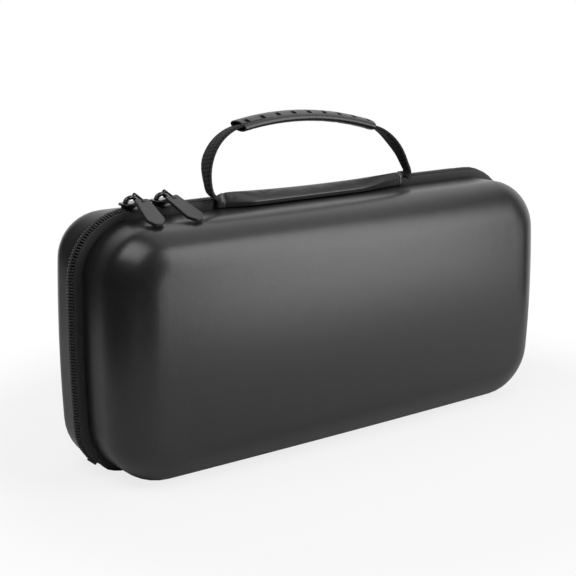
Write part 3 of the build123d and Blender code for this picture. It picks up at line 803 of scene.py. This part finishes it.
def strap_step(bm, ring, centre, angle, twist=0.0):
    """Extrudes a ring round a centre in the strap's plane, twists it and returns it with its points."""
    grown = bmesh.ops.extrude_edge_only(bm, edges=ring)["geom"]
    verts = [g for g in grown if isinstance(g, bmesh.types.BMVert)]
    new = set(verts)
    bmesh.ops.rotate(bm, verts=verts, cent=(centre.x, centre.y, 0), matrix=Matrix.Rotation(angle, 3, "Z"))
    middle = sum((v.co for v in verts), Vector()) / len(verts)
    outward = (middle - Vector((centre.x, centre.y, 0))).normalized()
    run = outward.cross(Vector((0, 0, 1)))
    bmesh.ops.rotate(bm, verts=verts, cent=middle, matrix=Matrix.Rotation(twist, 3, run))
    return [g for g in grown if isinstance(g, bmesh.types.BMEdge) and set(g.verts) <= new], verts


bm = bmesh.new()
along = bm.verts.layers.float.new("along")
across = bm.verts.layers.float.new("across")
place = strap_place(handle_start, Vector((-1, 0)), 0.0018, 0.0106)
corners = bmesh.ops.create_grid(bm, x_segments=1, y_segments=1, size=1, matrix=place)["verts"]
bmesh.ops.bevel(
    bm, geom=corners, offset=0.0005, offset_type="OFFSET", segments=4, profile=0.5,
    affect="VERTICES", material=-1,
)
bmesh.ops.delete(bm, geom=bm.faces[:], context="FACES_ONLY")
ring = bm.edges[:]
for v in bm.verts:
    v[across] = v.co.z
travelled = 0
for number, (start, heading, centre, radius, turn) in enumerate(handle_arcs):
    steps = max(4, round(abs(radius * turn) / 0.0025))
    twist = (0, 0, 0, 1, -1, 0, 0)[number] * strap_twist / steps
    for step in range(steps):
        ring, verts = strap_step(bm, ring, centre, turn / steps, twist)
        travelled += abs(radius * turn) / steps
        for v in verts:
            v[along] = travelled
bmesh.ops.holes_fill(bm, edges=[e for e in bm.edges if e.is_boundary], sides=0)
bmesh.ops.recalc_face_normals(bm, faces=bm.faces[:])
for v in bm.verts:
    risen = min(max((v.co.y - 0.005) / 0.018, 0), 1)
    risen = risen * risen * (3 - 2 * risen)
    v.co.z = v.co.z * (0.55 + 0.45 * risen) + 0.0020 * (1 - risen)
    tucked = min(max(1 - v.co.y / 0.007, 0), 1)
    v.co.y -= 0.5 * (v.co.z + 0.0003) * tucked * tucked * (3 - 2 * tucked)
bmesh.ops.transform(bm, matrix=handle_place, verts=bm.verts[:])
piece("handle_webbing_strap", bm, [webbing_weave], "front_half", "webbing", "handle_webbing")

# Handle grip. A thick moulded sleeve with a leather-like grain round the middle of the webbing. It is
# lens-shaped across and turned a little forward, with short slots along its top and its underside.
grip_slots = 9
slot_pitch = 0.0104
grip_tilt = radians(19)
grip_skin, tree = new_finish("grained_moulded_grip_black")
place = add_node(tree, "ShaderNodeTexCoord")
# Pebble grain of about 0.8 mm
grain = add_node(
    tree, "ShaderNodeTexVoronoi", {"feature": "SMOOTH_F1"}, {"Scale": 1 / 0.0008, "Smoothness": 0.4},
    {"Vector": place.outputs["Object"]},
)
tone = add_node(tree, "ShaderNodeValToRGB", links={"Fac": grain.outputs["Distance"]})
tone.color_ramp.elements[0].color = linear("#202020")
tone.color_ramp.elements[1].color = linear("#161616")
relief = add_node(
    tree, "ShaderNodeBump", {"invert": True}, {"Strength": 0.4, "Distance": 0.0001},
    {"Height": grain.outputs["Distance"]},
)
shader = add_node(
    tree, "ShaderNodeBsdfPrincipled", values={"Roughness": 0.36, "IOR": 1.5},
    links={"Base Color": tone.outputs["Color"], "Normal": relief.outputs["Normal"]},
)
show(tree, shader)
start, heading, centre, radius, turn = handle_arcs[3]
grip_length = abs(radius * turn)
bm = bmesh.new()
bmesh.ops.create_circle(bm, segments=20, radius=1, matrix=strap_place(start, heading, 0.0057, 0.014))
ring = bm.edges[:]
run = (start - centre).normalized().to_3d().cross(Vector((0, 0, 1)))
bmesh.ops.rotate(bm, verts=bm.verts[:], cent=start.to_3d(), matrix=Matrix.Rotation(grip_tilt, 3, run))
places = [0.0]
for number in range(grip_slots):
    middle = grip_length / 2 + (number - (grip_slots - 1) / 2) * slot_pitch
    places += [middle - 0.0030, middle - 0.0013, middle + 0.0013, middle + 0.0030]
places.append(grip_length)
slot_faces = []
for number, (place, following) in enumerate(zip(places, places[1:])):
    old = set(bm.faces)
    ring, verts = strap_step(bm, ring, centre, (following - place) / radius)
    if number % 4 == 2:
        slot_faces += [f for f in bm.faces if f not in old and 0 < f.calc_center_median().z < 0.0038]
ends = bmesh.ops.holes_fill(bm, edges=[e for e in bm.edges if e.is_boundary], sides=0)["faces"]
bmesh.ops.recalc_face_normals(bm, faces=bm.faces[:])
bmesh.ops.inset_region(bm, faces=slot_faces, thickness=0.0003, depth=-0.0012, use_even_offset=True)
bmesh.ops.inset_individual(bm, faces=ends, thickness=0.0009, depth=0.0, use_even_offset=True)
bmesh.ops.inset_individual(bm, faces=ends, thickness=0.0001, depth=-0.0030, use_even_offset=True)
bmesh.ops.transform(bm, matrix=handle_place, verts=bm.verts[:])
grip = piece("handle_grip_moulding", bm, [grip_skin], "front_half", "grip", "handle_grip")
grip.modifiers.new("edge", "BEVEL")
grip.modifiers["edge"].width = 0.0003
grip.modifiers["edge"].segments = 2
grip.modifiers["edge"].limit_method = "ANGLE"
grip.modifiers["edge"].angle_limit = radians(40)
grip.modifiers["edge"].harden_normals = True

# Handle sleeve. A folded strip of coated cloth, shiny and a little creased, sewn over the webbing along the top
# rim; its front edge is rolled and its two ends are turned in and stitched.
sleeve_skin, tree = new_finish("polished_coated_cloth_black")
place = add_node(tree, "ShaderNodeTexCoord")
crease = add_node(
    tree, "ShaderNodeTexNoise",
    values={"Scale": 1 / 0.006, "Detail": 3.0, "Roughness": 0.55, "Distortion": 0.4},
    links={"Vector": place.outputs["Object"]},
)
grain = add_node(
    tree, "ShaderNodeTexVoronoi", {"feature": "SMOOTH_F1"}, {"Scale": 1 / 0.0007, "Smoothness": 0.5},
    {"Vector": place.outputs["Object"]},
)
tone = add_node(tree, "ShaderNodeValToRGB", links={"Fac": crease.outputs["Fac"]})
tone.color_ramp.elements[0].color = linear("#232323")
tone.color_ramp.elements[1].color = linear("#2e2e2e")
relief = add_node(
    tree, "ShaderNodeBump", {"invert": True}, {"Strength": 0.3, "Distance": 0.00006},
    {"Height": grain.outputs["Distance"]},
)
swell = add_node(
    tree, "ShaderNodeBump", values={"Strength": 0.5, "Distance": 0.0006},
    links={"Height": crease.outputs["Fac"], "Normal": relief.outputs["Normal"]},
)
shader = add_node(
    tree, "ShaderNodeBsdfPrincipled", values={"Roughness": 0.28, "IOR": 1.5},
    links={"Base Color": tone.outputs["Color"], "Normal": swell.outputs["Normal"]},
)
show(tree, shader)
sleeve_left = -0.0667
sleeve_right = 0.0641
bm = bmesh.new()
section = [bm.verts.new((sleeve_left, zip_plane - d / 1e4, crest + z / 1e4)) for d, z in (
    (38, -58), (38, -10), (38, 14), (42, 22), (50, 24), (72, 10), (95, -6), (114, -20), (122, -27), (124, -32),
    (122, -37), (119, -46), (116, -57), (80, -58),
)]
ring = [bm.edges.new((a, b)) for a, b in zip(section, section[1:] + section[:1])]
steps = [0.0005, 0.0030, 0.0006, 0.0005, 0.0005, 0.0009] + [0.0040] * 29
steps += [sleeve_right - sleeve_left - sum(steps) - 0.0060, 0.0009, 0.0005, 0.0005, 0.0006, 0.0030, 0.0005]
for step in steps:
    grown = bmesh.ops.extrude_edge_only(bm, edges=ring)["geom"]
    verts = [g for g in grown if isinstance(g, bmesh.types.BMVert)]
    ring = [g for g in grown if isinstance(g, bmesh.types.BMEdge) and set(g.verts) <= set(verts)]
    bmesh.ops.translate(bm, vec=(step, 0, 0), verts=verts)
bmesh.ops.holes_fill(bm, edges=[e for e in bm.edges if e.is_boundary], sides=0)
bmesh.ops.recalc_face_normals(bm, faces=bm.faces[:])


def sleeve_point(x, depth, height):
    """Moves a point of the sleeve's middle section to its place at x: drawn in at the ends, sagging between."""
    left = min(max((x - sleeve_left) / 0.022, 0), 1)
    right = min(max((sleeve_right - x) / 0.040, 0), 1)
    left = left * left * (3 - 2 * left)
    right = right * right * (3 - 2 * right)
    reach = (0.0020 + 0.0066 * min(left, right)) / 0.0086
    top = 0.0010 + 0.0016 * ((x - 0.002) / 0.065) ** 2 - 0.0022 * max(1 - (x - sleeve_left) / 0.009, 0) ** 2
    fold = -0.0009 - 0.0023 * right
    if height > -0.0032:
        height = fold + (height + 0.0032) / 0.0056 * (top - fold)
    else:
        height = -0.0058 + (height + 0.0058) / 0.0026 * (fold + 0.0058)
    return Vector((x, zip_plane - 0.0038 - (depth - 0.0038) * reach, crest + height))


for v in bm.verts:
    inward = min(v.co.x - sleeve_left, sleeve_right - v.co.x)
    hem = -0.0004 if inward < 0.0002 else 0.0003 if inward < 0.0042 else -0.0002 if inward < 0.0052 else 0.0
    v.co = sleeve_point(v.co.x, zip_plane - v.co.y, v.co.z - crest)
    if zip_plane - v.co.y > 0.0040:
        v.co.y -= hem
    if v.co.z > crest - 0.005:
        v.co.z += hem
sleeve = piece("handle_sleeve_cover", bm, [sleeve_skin], "front_half", "sleeve_skin", "handle_sleeve")
sleeve.modifiers.new("soft", "SUBSURF")
sleeve.modifiers["soft"].levels = 2
sleeve.modifiers["soft"].render_levels = 2

# Floor, lights and background. A plain white table top, with a soft lamp overhead, one above the left end
# and a tall one to the right of the camera that reaches below the table. A white backdrop is behind the case.
floor_paper, tree = new_finish("white_paper_floor")
place = add_node(tree, "ShaderNodeTexCoord")
grain = add_node(
    tree, "ShaderNodeTexNoise", values={"Scale": 1 / 0.0025}, links={"Vector": place.outputs["Object"]},
)
tone = add_node(tree, "ShaderNodeValToRGB", links={"Fac": grain.outputs["Fac"]})
tone.color_ramp.elements[0].color = linear("#d6d6d6")
tone.color_ramp.elements[1].color = linear("#dadada")
paper = add_node(
    tree, "ShaderNodeBsdfPrincipled", values={"Roughness": 0.9, "Specular IOR Level": 0.2},
    links={"Base Color": tone.outputs["Color"]},
)
white = add_node(tree, "ShaderNodeEmission", values={"Color": (1, 1, 1, 1), "Strength": 1.0})
path = add_node(tree, "ShaderNodeLightPath")
# The camera sees the paper lifted towards white, with the shadow kept on it near the case
far = add_node(
    tree, "ShaderNodeVectorMath", {"operation": "LENGTH"}, links={0: place.outputs["Object"]},
)
fade = add_node(
    tree, "ShaderNodeMapRange", {"interpolation_type": "SMOOTHSTEP"},
    {"From Min": 0.17, "From Max": 0.27, "To Min": 0.80, "To Max": 1.0}, {"Value": far.outputs["Value"]},
)
lift = add_node(
    tree, "ShaderNodeMath", {"operation": "MULTIPLY"},
    links={0: fade.outputs["Result"], 1: path.outputs["Is Camera Ray"]},
)
seen = add_node(
    tree, "ShaderNodeMixShader", links={0: lift.outputs["Value"], 1: paper.outputs[0], 2: white.outputs[0]},
)
show(tree, seen)
bm = bmesh.new()
table = Matrix.Translation((0, -0.01, 0)) @ Matrix.Diagonal((0.36, 0.32, 1, 1))
bmesh.ops.create_grid(bm, x_segments=1, y_segments=1, size=1, matrix=table)
floor_mesh = bpy.data.meshes.new("floor")
bm.to_mesh(floor_mesh)
bm.free()
floor_mesh.materials.append(floor_paper)
floor = bpy.data.objects.new("floor", floor_mesh)
bpy.context.scene.collection.objects.link(floor)

world = bpy.data.worlds.new("studio")
bpy.context.scene.world = world
world.use_nodes = True
tree = world.node_tree
tree.nodes.clear()
path = add_node(tree, "ShaderNodeLightPath")
# The backdrop stands behind the case and to its right; it shows in shiny surfaces from there
place = add_node(tree, "ShaderNodeTexCoord")
facing = add_node(
    tree, "ShaderNodeVectorMath", {"operation": "DOT_PRODUCT"}, {1: (0.64, 0.77, 0.0)},
    {0: place.outputs["Generated"]},
)
backdrop = add_node(
    tree, "ShaderNodeMapRange", {"interpolation_type": "SMOOTHSTEP"},
    {"From Min": 0.4, "From Max": 0.7, "To Min": 0.0, "To Max": 1.0}, {"Value": facing.outputs["Value"]},
)
shiny = add_node(
    tree, "ShaderNodeMath", {"operation": "MULTIPLY"},
    links={0: backdrop.outputs["Result"], 1: path.outputs["Is Glossy Ray"]},
)
seen = add_node(
    tree, "ShaderNodeMath", {"operation": "MAXIMUM"},
    links={0: path.outputs["Is Camera Ray"], 1: path.outputs["Is Transmission Ray"]},
)
white = add_node(
    tree, "ShaderNodeMath", {"operation": "MAXIMUM"},
    links={0: seen.outputs["Value"], 1: shiny.outputs["Value"]},
)
level = add_node(
    tree, "ShaderNodeMapRange", values={"To Min": 0.08, "To Max": 1.0}, links={"Value": white.outputs["Value"]},
)
sky = add_node(
    tree, "ShaderNodeBackground", values={"Color": (1, 1, 1, 1)}, links={"Strength": level.outputs["Result"]},
)
add_node(tree, "ShaderNodeOutputWorld", links={"Surface": sky.outputs[0]})

for name, place, aim, size, power in (
    ("overhead_lamp", (0.6, 0.1, 1.4), (0, 0, 0), (1.4, 1.1), 5),
    ("left_top_lamp", (-0.65, -0.175, 1.27), (0, 0, 0.12), (1.3, 0.7), 11),
    ("right_lamp", (0.885, -1.2, 0.55), (0, 0, 0.12), (0.9, 2.1), 29),
):
    lamp = bpy.data.lights.new(name, "AREA")
    lamp.shape = "RECTANGLE"
    lamp.size, lamp.size_y = size
    lamp.energy = power
    stand = bpy.data.objects.new(name, lamp)
    stand.location = place
    stand.rotation_euler = (Vector(aim) - Vector(place)).to_track_quat("-Z", "Y").to_euler()
    bpy.context.scene.collection.objects.link(stand)

bpy.context.scene.view_settings.view_transform = "Standard"
